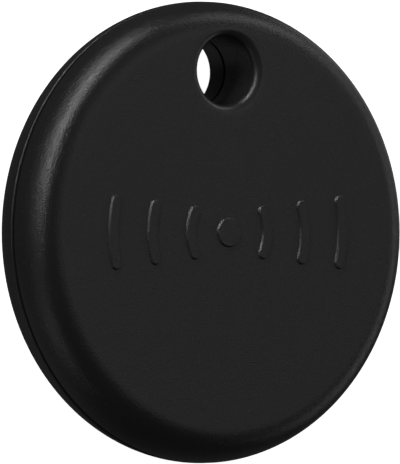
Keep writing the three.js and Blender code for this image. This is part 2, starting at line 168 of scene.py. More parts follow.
BAND_CENTRE = RIM_RADIUS - BAND_CROWN
SHOULDER = (HALF_THICKNESS - BAND_CROWN * math.sin(SHOULDER_START)) / (1 - math.sin(SHOULDER_START))
SHOULDER_R = BAND_CENTRE + (BAND_CROWN - SHOULDER) * math.cos(SHOULDER_START)
SHOULDER_H = (BAND_CROWN - SHOULDER) * math.sin(SHOULDER_START)
BAND_TOP = BAND_CENTRE + BAND_CROWN * math.cos(SHOULDER_START)
LIP_RADIUS = HOLE_RADIUS + LIP
LEDGE_ROOT = CAVITY_RADIUS + 0.3


def circle(centre_y, radius, height):
    """A ring of points about an upright axis. height is a number or a function of x and y."""
    angles = np.arange(SEGMENTS) * 2 * np.pi / SEGMENTS
    x = radius * np.sin(angles)
    y = centre_y + radius * np.cos(angles)
    z = height(x, y) if callable(height) else np.full(SEGMENTS, height)
    return np.column_stack((x, y, z))


def arc(centre_r, centre_h, radius, start, end, steps):
    """(radius, height) pairs on an arc, both ends included, angles in degrees."""
    angles = np.radians(np.linspace(start, end, steps + 1))
    return [(centre_r + radius * math.cos(a), centre_h + radius * math.sin(a)) for a in angles]


def between_circles(shares, height):
    """Rings that pass from the lip of the key hole to the top of the side band."""
    span = BAND_TOP - LIP_RADIUS
    return [circle(HOLE_Y * (1 - share), LIP_RADIUS + span * share, height) for share in shares]


def face_height(x, y):
    """Height of the flat face and the shoulder above the mid-plane."""
    beyond = np.clip(np.hypot(x, y) - SHOULDER_R, 0, SHOULDER * 0.999)
    return SHOULDER_H + np.sqrt(SHOULDER**2 - beyond**2)


def lipped_height(x, y):
    """The face, lowered into the rounded lip of the key hole with a smooth join."""
    face = face_height(x, y)
    reach = np.hypot(x, y - HOLE_Y) - LIP_RADIUS
    inside = np.clip(-reach, 0, LIP)
    outside = np.clip(reach, 0, None)
    lip = HALF_THICKNESS - LIP + np.sqrt(LIP**2 - inside**2) + outside**2 / (2 * LIP)
    overlap = np.clip(LIP_BLEND - np.abs(face - lip), 0, None)
    return np.minimum(face, lip) - overlap**2 / (4 * LIP_BLEND)


def ceiling_height(x, y):
    """Height of the inside of the flat wall, with its round corner."""
    beyond = np.clip(np.hypot(x, y) - (CAVITY_RADIUS - CAVITY_CORNER), 0, CAVITY_CORNER)
    return HALF_THICKNESS - FACE_WALL - CAVITY_CORNER + np.sqrt(CAVITY_CORNER**2 - beyond**2)


def half_case_rings(seam, tube_end):
    """All rings of one half of the case, outside, key-hole tube and inside, as one loop.
    Heights are measured outwards from the mid-plane, those of the seam and tube too."""
    edge_height = seam + SEAM_EDGE
    edge_angle = math.degrees(math.asin(edge_height / (BAND_CROWN - SEAM_EDGE)))
    edge_r = BAND_CENTRE + (BAND_CROWN - SEAM_EDGE) * math.cos(math.radians(edge_angle))
    start = math.degrees(SHOULDER_START)
    band = arc(edge_r, edge_height, SEAM_EDGE, -90, edge_angle, 5)
    band += arc(BAND_CENTRE, 0, BAND_CROWN, edge_angle, start, 10)[1:-1]
    rings = [circle(0, r, h) for r, h in band]
    shares = [*np.linspace(1, 0.84, 25), *np.linspace(0.8, 0.06, 12), 0.04, 0.025, 0.012, 0]
    rings += between_circles(shares, lipped_height)
    lip_top = HALF_THICKNESS - LIP
    for r, h in arc(LIP_RADIUS, lip_top, LIP, 90, 180, 14)[1:]:
        rings.append(circle(HOLE_Y, r, lambda x, y, h=h: np.minimum(lipped_height(x, y), h)))
    hole_edge = arc(HOLE_RADIUS + TUBE_EDGE, tube_end + TUBE_EDGE, TUBE_EDGE, 180, 270, 5)
    rings += [circle(HOLE_Y, r, h) for r, h in hole_edge]
    rings.append(circle(HOLE_Y, TUBE_RADIUS, tube_end))
    rings.append(circle(HOLE_Y, TUBE_RADIUS, ceiling_height))
    for share in [0.1, 0.3, 0.5, 0.7, *np.sin(np.radians(np.linspace(55, 90, 12)))]:
        radius = TUBE_RADIUS + (CAVITY_RADIUS - TUBE_RADIUS) * share
        rings.append(circle(HOLE_Y * (1 - share), radius, ceiling_height))
    rings.append(circle(0, CAVITY_RADIUS, seam))
    return rings


def as_mesh(name, points, faces):
    """A mesh object from points in millimetres, with its faces pointing out."""
    mesh = bpy.data.meshes.new(name)
    mesh.from_pydata((np.asarray(points) * MM).tolist(), [], faces)
    work = bmesh.new()
    work.from_mesh(mesh)
    bmesh.ops.remove_doubles(work, verts=work.verts, dist=1e-4 * MM)
    bmesh.ops.recalc_face_normals(work, faces=work.faces)
    work.to_mesh(mesh)
    work.free()
    piece = bpy.data.objects.new(name, mesh)
    bpy.context.scene.collection.objects.link(piece)
    return piece


def skin(name, rings, looped=True):
    """Joins each ring to the next with quads: in a loop, or with a flat end on both sides."""
    count = len(rings[0])
    around = np.arange(count)
    following = (around + 1) % count
    faces = []
    for ring in range(len(rings) if looped else len(rings) - 1):
        a = ring * count
        b = (ring + 1) % len(rings) * count
        quads = np.column_stack((a + around, a + following, b + following, b + around))
        faces += quads.tolist()
    if not looped:
        faces.append(around[::-1].tolist())
        faces.append((around + (len(rings) - 1) * count).tolist())
    return as_mesh(name, np.vstack(rings), faces)


def merge(piece, others, operation="UNION"):
    """Joins other meshes to a piece, or cuts them away from it, and removes them."""
    for other in others:
        cutter = piece.modifiers.new("merge", "BOOLEAN")
        cutter.object = other
        cutter.operation = operation
        cutter.solver = "EXACT"
        bpy.context.view_layer.objects.active = piece
        bpy.ops.object.modifier_apply(modifier=cutter.name)
        bpy.data.objects.remove(other)
    return piece


def smooth(piece, degrees=32):
    """Smooth shading, broken where faces meet at more than an angle."""
    piece.data.shade_smooth()
    work = bmesh.new()
    work.from_mesh(piece.data)
    for edge in work.edges:
        edge.smooth = edge.calc_face_angle(0) < math.radians(degrees)
    work.to_mesh(piece.data)
    work.free()
    return piece


class Socket:
    """A value inside a material. Arithmetic on it adds the Math nodes."""

    def __init__(self, finish, socket):
        self.finish = finish
        self.socket = socket

    def math(self, operation, first, second=0.0):
        return self.finish.node("ShaderNodeMath", {"operation": operation}, {0: first, 1: second})

    def __add__(self, other):
        return self.math("ADD", self, other)

    __radd__ = __add__

    def __mul__(self, other):
        return self.math("MULTIPLY", self, other)

    __rmul__ = __mul__

    def __sub__(self, other):
        return self.math("SUBTRACT", self, other)

    def __rsub__(self, other):
        return self.math("SUBTRACT", other, self)

    def __abs__(self):
        return self.math("ABSOLUTE", self)

    def __gt__(self, other):
        return self.math("GREATER_THAN", self, other)

    def __lt__(self, other):
        return self.math("LESS_THAN", self, other)


class Finish:
    """A material in the making: node() adds any node, and shader() sets the surface."""

    def __init__(self, name):
        self.material = bpy.data.materials.new(name)
        self.material.use_nodes = True
        self.tree = self.material.node_tree
        self.surface = self.tree.nodes["Principled BSDF"]

    def put(self, socket, value):
        if isinstance(value, Socket):
            self.tree.links.new(value.socket, socket)
        elif hasattr(value, "__len__") and len(value) == 3 and socket.type == "RGBA":
            socket.default_value = (*value, 1)
        else:
            socket.default_value = value

    def node(self, kind, settings=None, sockets=None, output=0):
        made = self.tree.nodes.new(kind)
        for name, value in (settings or {}).items():
            setattr(made, name, value)
        for name, value in (sockets or {}).items():
            self.put(made.inputs[name], value)
        return Socket(self, made.outputs[output])

    def shader(self, **sockets):
        for name, value in sockets.items():
            self.put(self.surface.inputs[name.replace("_", " ")], value)
        return self.material


def place_of(finish):
    """The piece's own coordinates, in metres."""
    return finish.node("ShaderNodeTexCoord", output="Object")


def grain(finish, size, detail=3):
    """Noise with features of about a size in millimetres."""
    sockets = {"Vector": place_of(finish), "Scale": 1 / (size * MM), "Detail": detail}
    return finish.node("ShaderNodeTexNoise", {}, sockets)


def off_axis(finish, centre):
    """Distance from an upright axis at a centre, in millimetres."""
    moved = finish.node(
        "ShaderNodeVectorMath", {"operation": "SUBTRACT"},
        {0: place_of(finish), 1: (centre[0] * MM, centre[1] * MM, 0)})
    level = finish.node(
        "ShaderNodeVectorMath", {"operation": "MULTIPLY"}, {0: moved, 1: (1 / MM, 1 / MM, 0)})
    return finish.node("ShaderNodeVectorMath", {"operation": "LENGTH"}, {0: level}, output=1)


def mix(finish, share, first, second):
    """A colour between two colours."""
    settings = {"data_type": "RGBA"}
    return finish.node("ShaderNodeMix", settings, {0: share, 6: first, 7: second}, output=2)


def bump(finish, height, strength, depth):
    """A bumped normal; depth is the height's full range in millimetres."""
    sockets = {"Strength": strength, "Distance": depth * MM, "Height": height}
    return finish.node("ShaderNodeBump", {}, sockets)


def coat(piece, material):
    """Gives a piece one material."""
    piece.data.materials.clear()
    piece.data.materials.append(material)
    return piece


def dress(piece, body, node, material=None):
    """Lets a piece stand for a CAD node on that node's body, in a material if one is given."""
    if material:
        coat(piece, material)
    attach(piece, body)
    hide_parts(node)
    return piece


def moulded_black():
    """Black ABS with a fine spark grain. Round the key hole's lip it is rougher and paler: the key ring's
    scuff, and a painted highlight along the lip.
    """
    finish = Finish("moulded_black")
    fine = grain(finish, 0.13, 3)
    coarse = grain(finish, 0.4, 3)
    cloud = grain(finish, 9, 2)
    from_crest = abs(off_axis(finish, (0, HOLE_Y)) - (HOLE_RADIUS + LIP / 2))
    kept = finish.node("ShaderNodeClamp", {}, {0: from_crest * (1 / LIP_BAND_REACH)})
    lip_scuff_and_highlight = 1 - kept
    height = fine * 0.75 + coarse * 0.25
    shade = mix(finish, cloud, (0.0135, 0.0137, 0.0142), (0.0175, 0.0175, 0.018))
    speckle = mix(finish, (fine > 0.62) * 0.5, shade, (0.021, 0.021, 0.022))
    return finish.shader(
        # The paler colour along the lip of the key hole is a painted highlight as well as the key ring's
        # scuff.
        Base_Color=mix(finish, lip_scuff_and_highlight * 0.5, speckle, (0.026, 0.026, 0.027)),
        Roughness=coarse * 0.1 + 0.205 + lip_scuff_and_highlight * 0.08,
        Normal=bump(finish, height * (kept * 0.7 + 0.3), 0.85, 0.062),
        Specular_IOR_Level=0.5,
    )


case_black = moulded_black()


def half_case(name, up, seam, tube_end):
    """One half of the case, above or below the mid-plane."""
    rings = half_case_rings(seam, tube_end)
    for ring in rings:
        ring[:, 2] = mid_plane / MM + up * ring[:, 2]
    return skin(name, rings)


rear_shell = half_case("rear_shell", -1, REAR_SEAM, REAR_TUBE_END)
ledge = skin("ledge", [circle(0, r, h) for r, h in (
    (LEDGE_RADIUS, LEDGE_FOOT), (LEDGE_ROOT, LEDGE_FOOT),
    (LEDGE_ROOT, LEDGE_TOP), (LEDGE_RADIUS, LEDGE_TOP))])
smooth(merge(rear_shell, [ledge]))
dress(rear_shell, "rear_half", "rear_cover", case_black)

# ---- Sounder ---------------------------------------------------------------------------
# A piezo bender that makes the tag chirp: a silvered ceramic disc on a rolled brass disc,
# which a ring of double-sided tape holds to the floor of the rear cover.

SOUNDER_Y = -2.4
BRASS_RADIUS = 11.8
CERAMIC_RADIUS = 9.4
CERAMIC_MARGIN = 0.45
SCREEN_PITCH = 0.16
DISC_INNER_RING = 0.9
TAPE_LEVELS = (0.92, 1.0)
BRASS_LEVELS = (1.02, 1.2)
CERAMIC_LEVELS = (1.22, 1.34)


def rounded(points, radius, closed=True, steps=3):
    """The same outline with each of its corners rounded off."""
    corners = np.asarray(points, dtype=float)
    last = len(corners) - 1
    result = []
    for i, corner in enumerate(corners):
        if not closed and i in (0, last):
            result.append(corner)
            continue
        back = corners[i - 1] - corner
        ahead = corners[(i + 1) % len(corners)] - corner
        start = corner + back * min(radius / np.linalg.norm(back), 0.45)
        end = corner + ahead * min(radius / np.linalg.norm(ahead), 0.45)
        for s in np.linspace(0, 1, steps + 1):
            result.append((1 - s) ** 2 * start + 2 * s * (1 - s) * corner + s**2 * end)
    return result


def turned(name, profile, centre=(0, 0), looped=False, steps=112):
    """A turned form from (radius, height) pairs about an upright axis."""
    angles = np.arange(steps) * 2 * np.pi / steps
    x = np.sin(angles)
    y = np.cos(angles)
    rings = [np.column_stack((centre[0] + r * x, centre[1] + r * y, np.full(steps, h)))
             for r, h in profile]
    return skin(name, rings, looped)


def washer(name, inner, outer, levels, edge, centre):
    """A flat ring with rounded edges."""
    low, high = levels
    section = rounded([(inner, low), (outer, low), (outer, high), (inner, high)], edge)
    return turned(name, section, centre, looped=True)


def disc(name, radius, levels, edge, centre):
    """A flat disc with a rounded edge, and a ring of faces near its rim."""
    low, high = levels
    inner = radius * DISC_INNER_RING
    corners = [(inner, low), (radius, low), (radius, high), (inner, high)]
    return turned(name, rounded(corners, edge, closed=False), centre)


def axis_of(finish, vector, axis):
    """One coordinate of a vector: axis 0, 1 or 2."""
    return finish.node("ShaderNodeSeparateXYZ", {}, {0: vector}, output=axis)


def stretched(finish, scale, detail=2):
    """Noise with its own scale per axis, in features per millimetre."""
    scaled = finish.node(
        "ShaderNodeVectorMath", {"operation": "MULTIPLY"},
        {0: place_of(finish), 1: [s / MM for s in scale]})
    return finish.node("ShaderNodeTexNoise", {}, {"Vector": scaled, "Scale": 1.0, "Detail": detail})


def tape_amber():
    """Acrylic tape: honey-coloured, with trapped air showing as paler flecks."""
    finish = Finish("tape_amber")
    bubbles = grain(finish, 0.35, 2)
    colour = mix(finish, (bubbles > 0.6) * 0.7, (0.52, 0.38, 0.19), (0.72, 0.6, 0.4))
    return finish.shader(
        Base_Color=colour, Roughness=bubbles * 0.3 + 0.35, Normal=bump(finish, bubbles, 0.4, 0.03))


def rolled_brass():
    """Brass sheet: fine rolling lines along X, with a breath of brown tarnish."""
    finish = Finish("rolled_brass")
    lines = stretched(finish, (0.15, 9, 9))
    tarnish = grain(finish, 4, 4)
    colour = mix(finish, tarnish, (0.72, 0.5, 0.2), (0.5, 0.32, 0.12))
    return finish.shader(
        Base_Color=colour, Metallic=1.0, Roughness=lines * 0.2 + 0.2,
        Normal=bump(finish, lines, 0.35, 0.02))


def silvered_ceramic():
    """A printed silver electrode that stops short of the disc's edge, where the fired
    ceramic shows cream; the print has a faint screen weave."""
    finish = Finish("silvered_ceramic")
    turns = 2 * math.pi / (SCREEN_PITCH * MM)
    warp, weft = [
        finish.node("ShaderNodeMath", {"operation": "SINE"},
                    {0: axis_of(finish, place_of(finish), axis) * turns}) for axis in (0, 1)]
    mottle = grain(finish, 1.2, 4)
    silver = off_axis(finish, (0, SOUNDER_Y)) < CERAMIC_RADIUS - CERAMIC_MARGIN
    print_shade = mix(finish, mottle, (0.56, 0.55, 0.52), (0.68, 0.67, 0.65))
    return finish.shader(
        Base_Color=mix(finish, silver, (0.55, 0.5, 0.38), print_shade),
        Metallic=silver * 0.85,
        Roughness=0.62 - silver * 0.2 + mottle * 0.1,
        Normal=bump(finish, warp * 0.25 + weft * 0.25 + mottle + silver * 2.0, 0.5, 0.01))


tape = washer("sounder_tape", CERAMIC_RADIUS, BRASS_RADIUS, TAPE_LEVELS, 0.03, (0, SOUNDER_Y))
dress(smooth(tape), "rear_half", "piezo_adhesive_ring", tape_amber())
brass = disc("sounder_brass", BRASS_RADIUS, BRASS_LEVELS, 0.05, (0, SOUNDER_Y))
dress(smooth(brass), "rear_half", "piezo_brass_disc", rolled_brass())
ceramic = disc("sounder_ceramic", CERAMIC_RADIUS, CERAMIC_LEVELS, 0.04, (0, SOUNDER_Y))
dress(smooth(ceramic), "rear_half", "piezo_ceramic_disc", silvered_ceramic())

# ---- Seam gasket -----------------------------------------------------------------------
# The seal against rain: one silicone moulding with a beaded ring inside the seam and a
# loop round the key-hole tube. It lies on the ledge of the rear cover.

GASKET_LEVELS = (2.52, 4.25)
GASKET_RADII = (17.3, 17.8)
LOOP_RADII = (3.8, 4.3)
BEAD_INSET = 0.09
BEADS = 3
BEAD_STEPS = 6


def beaded(radii, levels):
    """Section of a sealing ring: three beads, one above the other, on both of its sides."""
    inner, outer = radii
    low, high = levels
    count = BEADS * BEAD_STEPS + 1
    heights = np.linspace(low, high, count)
    wave = BEAD_INSET * (0.5 - 0.5 * np.cos(np.linspace(0, 2 * np.pi * BEADS, count)))
    outside = [(outer - BEAD_INSET + w, h) for w, h in zip(wave, heights)]
    inside = [(inner + BEAD_INSET - w, h) for w, h in zip(wave, heights)]
    return outside + inside[::-1]


def silicone_grey():
    """Dark grey silicone: dull, with a bloom of talc in its pores."""
    finish = Finish("silicone_grey")
    pores = grain(finish, 0.2, 3)
    bloom = grain(finish, 2.5, 3)
    colour = mix(finish, bloom * 0.6 + (pores > 0.6) * 0.3, (0.03, 0.031, 0.034), (0.1, 0.1, 0.1))
    return finish.shader(
        Base_Color=colour, Roughness=bloom * 0.25 + 0.55, Normal=bump(finish, pores, 0.3, 0.02))


gasket = turned("gasket", beaded(GASKET_RADII, GASKET_LEVELS), looped=True, steps=SEGMENTS)
gasket_loop = turned("gasket_loop", beaded(LOOP_RADII, GASKET_LEVELS), (0, HOLE_Y), looped=True)
beyond_ring = turned("beyond_ring", [(17.5, 2), (19, 2), (19, 5), (17.5, 5)], looped=True)
within_loop = turned("within_loop", [(LOOP_RADII[0], 2), (LOOP_RADII[0], 5)], (0, HOLE_Y))
merge(gasket_loop, [beyond_ring], "DIFFERENCE")
merge(gasket, [within_loop], "DIFFERENCE")
merge(gasket, [gasket_loop])
dress(smooth(gasket), "rear_half", "seam_gasket", silicone_grey())

# ---- Inner frame -----------------------------------------------------------------------
# A glass-filled nylon moulding that carries everything: a pocket for the coin cell below,
# a rim and two pegs for the circuit board above, and the flange that the front cover hooks.

FRAME_RADIUS = 17
FRAME_LEVELS = (1.5, 4.8)
WALL_RADIUS = 15.8
WEB = 0.9
RIM_INNER = 16.15
RIM_TOP = 5.3
FLANGE_RADIUS = 17.35
FLANGE_FOOT = 4.95
CELL_Y = -4.4
POCKET_RADIUS = 10.35
POCKET_WALL = 0.9
BITE_RADIUS = 4.6
RIB_TURNS = (200, 250, 290, 340)
RIB_HALF = 0.4
PEGS = ((13.4, 3.2), (-13.4, 3.2))
PEG_RADIUS = 0.6
PEG_TOP = 5.6
PINS = (((0, 6.4), 1.36), ((8.2, 5.7), 1.22))
PIN_HOLE = 0.75


def slab(name, outline, bottom, top):
    """An upright prism over an outline of (x, y) pairs."""
    rings = [np.array([(x, y, h) for x, y in outline]) for h in (bottom, top)]
    return skin(name, rings, looped=False)


def oblong(low, high, turn_by=0):
    """Corners of an oblong, turned about the origin by some degrees."""
    cosine = math.cos(math.radians(turn_by))
    sine = math.sin(math.radians(turn_by))
    corners = [(low[0], low[1]), (high[0], low[1]), (high[0], high[1]), (low[0], high[1])]
    return [(x * cosine - y * sine, x * sine + y * cosine) for x, y in corners]


def soften(piece, width, degrees=40, steps=2):
    """Rounds the sharp edges of a piece, by a width in millimetres."""
    bevel = piece.modifiers.new("soften", "BEVEL")
    bevel.width = width * MM
    bevel.segments = steps
    bevel.limit_method = "ANGLE"
    bevel.angle_limit = math.radians(degrees)
    bpy.context.view_layer.objects.active = piece
    bpy.ops.object.modifier_apply(modifier=bevel.name)
    return piece


def filled_nylon():
    """Black nylon with glass fibre: pale fibre ends and faint flow lines in a dull skin."""
    finish = Finish("filled_nylon")
    fibres = stretched(finish, (3, 14, 3), 3)
    flow = grain(finish, 5, 3)
    skin_grain = grain(finish, 0.25, 3)
    pale = (fibres > 0.64) * 0.6 + flow * 0.2
    colour = mix(finish, pale, (0.022, 0.022, 0.024), (0.075, 0.075, 0.078))
    return finish.shader(
        Base_Color=colour, Roughness=flow * 0.15 + 0.42, Normal=bump(finish, skin_grain, 0.4, 0.03))


low, high = FRAME_LEVELS
inner_frame = turned("inner_frame", rounded([
    (WALL_RADIUS, low), (FRAME_RADIUS - 0.5, low), (FRAME_RADIUS, low + 0.6),
    (FRAME_RADIUS, FLANGE_FOOT), (FLANGE_RADIUS, FLANGE_FOOT), (FLANGE_RADIUS, RIM_TOP),
    (RIM_INNER, RIM_TOP), (RIM_INNER, high), (WALL_RADIUS, high)], 0.08), looped=True)
frame_web = turned("frame_web", [(RIM_INNER + 0.2, high - WEB), (RIM_INNER + 0.2, high)])
pocket_outer = POCKET_RADIUS + POCKET_WALL
pocket_ring = turned("pocket_ring", rounded(
    [(pocket_outer - 1, low), (pocket_outer, low), (pocket_outer, high), (pocket_outer - 1, high)],
    0.12, closed=False), (0, CELL_Y))
rib_ends = ((POCKET_RADIUS + 0.4, -RIB_HALF), (WALL_RADIUS + 0.1, RIB_HALF))
ribs = [slab("rib", oblong(*rib_ends, turn_by), low + 0.6, high - 0.5) for turn_by in RIB_TURNS]
pegs = [turned("peg", rounded(
    [(PEG_RADIUS, high - 0.2), (PEG_RADIUS, PEG_TOP), (PEG_RADIUS * 0.3, PEG_TOP)], 0.18, closed=False),
    at, steps=40) for at in PEGS]
merge(inner_frame, [frame_web, pocket_ring, *ribs, *pegs])
cell_space = turned("cell_space", [(POCKET_RADIUS, 0), (POCKET_RADIUS, 7)], (0, CELL_Y))
contact_slot = slab("contact_slot", [(x, y + CELL_Y) for x, y in oblong((-14.2, -2), (-9.9, 2))], 1, 7)
tube_space = turned("tube_space", [(BITE_RADIUS, 0), (BITE_RADIUS, 7)], (0, HOLE_Y))
pin_holes = [turned("pin_hole", [(PIN_HOLE, 0), (PIN_HOLE, 7)], at, steps=40) for at, tip in PINS]
merge(inner_frame, [cell_space, contact_slot, tube_space, *pin_holes], "DIFFERENCE")
soften(inner_frame, 0.06, 60)
dress(smooth(inner_frame, 40), "inner_core", "chassis", filled_nylon())

# ---- Contacts and spring pins ----------------------------------------------------------
# Spring leaves of tinned bronze that touch the side and the cap of the coin cell, and two
# gold-plated spring pins that touch the sounder. All are soldered under the circuit board.

BOARD_LEVELS = (4.9, 5.5)
SOLDER_FILM = 0.02
LEAF = 0.2
LEAF_WIDTH = 3
TONGUE = 0.1
TONGUE_WIDTH = 2
LEAF_TOUCH = (-10.18, 3.2)
TONGUE_TOUCH = 4.73
PIN_TIP = 0.28
PIN_SOCKET = 0.45
PIN_SHOULDER = 3.2


def strip(path, bend, thickness, steps=3):
    """Outline of a strip of even thickness along a path whose corners are bent round."""
    line = np.array(rounded(path, bend, closed=False, steps=steps))
    along = np.gradient(line, axis=0)
    across = np.column_stack((-along[:, 1], along[:, 0]))
    offset = across / np.linalg.norm(across, axis=1)[:, None] * thickness / 2
    return np.vstack((line + offset, (line - offset)[::-1]))


def leaf(name, path, thickness, width):
    """A spring leaf: sheet metal bent along a path of (x, z), centred on the coin cell."""
    outline = strip(path, 0.45, thickness, steps=6)
    rings = [np.column_stack((outline[:, 0], np.full(len(outline), CELL_Y + y), outline[:, 1]))
             for y in (-width / 2, width / 2)]
    return skin(name, rings, looped=False)


def tinned_bronze():
    """Tin plate over bronze: satin, a little cloudy, with scuffs along the leaf."""
    finish = Finish("tinned_bronze")
    scuffs = stretched(finish, (0.4, 10, 0.4), 3)
    cloud = grain(finish, 1.5, 3)
    colour = mix(finish, cloud, (0.55, 0.54, 0.51), (0.68, 0.66, 0.61))
    return finish.shader(
        Base_Color=colour, Metallic=1.0, Roughness=scuffs * 0.25 + 0.18,
        Normal=bump(finish, scuffs, 0.3, 0.01))


def gold_plate(name, dull):
    """Thin gold over nickel: brightest where it is new, redder where it is handled."""
    finish = Finish(name)
    cloud = grain(finish, 0.8, 3)
    fine = grain(finish, 0.06, 2)
    colour = mix(finish, cloud, (0.83, 0.6, 0.25), (0.7, 0.47, 0.18))
    return finish.shader(
        Base_Color=colour, Metallic=1.0, Roughness=fine * 0.12 + dull,
        Normal=bump(finish, fine, 0.25, 0.006))


board_low, board_high = BOARD_LEVELS
tin = tinned_bronze()
leaf_top = board_low - LEAF / 2 - SOLDER_FILM
side_leaf = leaf("side_leaf", [
    (-13.6, leaf_top), (-10.95, leaf_top), LEAF_TOUCH, (-10.75, 2.15)], LEAF, LEAF_WIDTH)
leaf_slot = slab("leaf_slot", [(x, y + CELL_Y) for x, y in oblong((-10.98, -0.2), (-9, 0.2))], 1.5, 4.2)
merge(side_leaf, [leaf_slot], "DIFFERENCE")
dress(smooth(soften(side_leaf, 0.03, 60)), "inner_core", "positive_contact", tin)
tongue_top = board_low - TONGUE / 2 - SOLDER_FILM
cap_tongue = leaf("cap_tongue", [
    (-3, tongue_top), (-0.9, tongue_top), (1.5, TONGUE_TOUCH), (2.55, TONGUE_TOUCH), (2.95, 4.8)],
    TONGUE, TONGUE_WIDTH)
dress(smooth(soften(cap_tongue, 0.02, 60)), "inner_core", "negative_contact", tin)

pin_gold = gold_plate("pin_gold", 0.16)
for number, (at, tip) in enumerate(PINS, 1):
    collar = PIN_SOCKET - 0.07
    pin = turned(f"spring_pin_{number}", [
        (0.07, tip), (0.17, tip + 0.02), (0.25, tip + 0.08), (PIN_TIP, tip + 0.18),
        (PIN_TIP, PIN_SHOULDER), (collar - 0.04, PIN_SHOULDER), (collar, PIN_SHOULDER + 0.05),
        (collar, 3.5), (PIN_SOCKET - 0.12, 3.54), (PIN_SOCKET - 0.12, 3.66), (collar, 3.7),
        (collar, 4.45), (PIN_SOCKET, 4.48), (PIN_SOCKET, board_low - SOLDER_FILM)], at, steps=40)
    dress(smooth(pin), "inner_core", f"piezo_pin_{number}", pin_gold)

# ---- Circuit board ---------------------------------------------------------------------
# A 0.6 mm glass-epoxy board under green solder mask. The copper tracks show as low ridges,
# the bare pads are gold-plated, and the mask is darker where the copper is kept away from
# the antenna.

BOARD_RADIUS = 16
PEG_HOLE = 0.75
COPPER = 0.012
COPPER_LEVELS = (board_high - 0.05, board_high + COPPER)
TRACK_WIDTH = 0.22
BARE_CORNER = (-6.2, 4.6)
VIA_RADIUS = 0.22
TRACKS = (
    ((4.4, -4.0), (2.4, -4.0), (1.9, -3.5), (1.9, -1.6)),
    ((4.4, -3.3), (3.0, -3.3), (2.4, -2.7), (2.4, -1.4)),
    ((4.3, -6.4), (2.2, -6.4), (0.4, -8.2), (-6.0, -8.2), (-8.6, -5.6)),
    ((6.0, -7.1), (6.0, -8.4)),
    ((8.0, -7.1), (8.0, -8.4)),
    ((9.7, -4.8), (10.5, -4.8)),
    ((7.0, -1.9), (7.0, -1.2)),
    ((8.2, -1.9), (8.2, 1.6), (5.6, 4.2), (5.6, 7.0), (3.2, 9.0)),
    ((-6.2, -0.2), (-4.7, -0.2)),
    ((-8.8, -0.2), (-10.1, -0.2)),
    ((-7.4, 0.6), (-7.4, 5.3)),
    ((-8.1, 5.8), (-9.2, 6.9), (-9.6, 7.6)),
    ((-5.9, -5.0), (-4.7, -5.0)),
    ((-3.7, -5.0), (-2.2, -5.0), (0.6, -2.2), (0.6, -1.5)),
    ((-11.1, -0.4), (-12.6, -1.9), (-12.6, -5.4)),
)
VIAS = (
    (1.9, -3.0), (2.2, -6.4), (5.6, 5.6), (-6.0, -8.2), (-12.6, -5.4), (10.9, 1.2), (12.4, -0.6),
    (3.4, -11.2), (-1.6, -11.6), (-3.4, 3.6), (4.2, 2.4), (0.2, -9.8), (-10.8, -8.4), (12.2, -7.4),
)
TEST_PADS = ((-2.2, -13.2), (0, -13.2), (2.2, -13.2), (4.4, -12.6))


def track(points):
    """One copper track under the mask: a low ridge of constant width."""
    return slab("track", strip(points, 0.2, TRACK_WIDTH), *COPPER_LEVELS)


def join(piece, others):
    """Puts other meshes, with their materials, into a piece without cutting either."""
    bpy.ops.object.select_all(action="DESELECT")
    for other in (piece, *others):
        other.select_set(True)
    bpy.context.view_layer.objects.active = piece
    bpy.ops.object.join()
    return piece


def solder_mask():
    """Green mask over copper, a shade darker over bare laminate; the routed edge shows
    the straw-coloured weave of the board."""
    finish = Finish("solder_mask")
    place = place_of(finish)
    upright = axis_of(finish, finish.node("ShaderNodeTexCoord", output="Normal"), 2)
    edge = (upright < 0.5) * (upright > -0.5)
    left = axis_of(finish, place, 0) < BARE_CORNER[0] * MM
    bare = left * (axis_of(finish, place, 1) > BARE_CORNER[1] * MM)
    cloud = grain(finish, 1.4, 3)
    weave = stretched(finish, (5, 5, 22))
    green = mix(finish, cloud, (0.006, 0.046, 0.02), (0.01, 0.066, 0.028))
    masked = mix(finish, bare, green, (0.004, 0.026, 0.013))
    straw = mix(finish, weave, (0.33, 0.28, 0.13), (0.5, 0.44, 0.24))
    return finish.shader(
        Base_Color=mix(finish, edge, masked, straw),
        Roughness=cloud * 0.12 + edge * 0.35 + 0.24,
        Normal=bump(finish, cloud + weave * 0.4, 0.25, 0.015))


def square(pair, half):
    """Corners of a square round a point."""
    x, y = pair
    return [(x - half, y - half), (x + half, y - half), (x + half, y + half), (x - half, y + half)]


mask_green = solder_mask()
pad_gold = gold_plate("pad_gold", 0.26)
board = disc("board", BOARD_RADIUS, BOARD_LEVELS, 0.04, (0, 0))
bite = turned("bite", [(BITE_RADIUS, 4), (BITE_RADIUS, 6)], (0, HOLE_Y))
peg_holes = [turned("peg_hole", [(PEG_HOLE, 4), (PEG_HOLE, 6)], at, steps=40) for at in PEGS]
merge(board, [bite, *peg_holes], "DIFFERENCE")
coat(board, mask_green)
ridges = [coat(track(points), mask_green) for points in TRACKS]
via_rings = [coat(washer("via", VIA_RADIUS * 0.45, VIA_RADIUS, COPPER_LEVELS, 0.01, at), pad_gold)
             for at in VIAS]
peg_rings = [coat(washer("peg_pad", PEG_HOLE + 0.05, PEG_HOLE + 0.45, COPPER_LEVELS, 0.01, at), pad_gold)
             for at in PEGS]
test_pads = [coat(slab("test_pad", rounded(square(at, 0.5), 0.3), *COPPER_LEVELS), pad_gold)
             for at in TEST_PADS]
join(smooth(board), ridges + via_rings + peg_rings + test_pads)
dress(board, "inner_core", "circuit_board")

# ---- Parts on the board ----------------------------------------------------------------
# Surface-mounted parts, each soldered by its plated ends or pads: the radio chip, two
# crystals in sealed cans, the coil and transistor that drive the sounder, the chip antenna,
# and small ceramic capacitors and resistors.

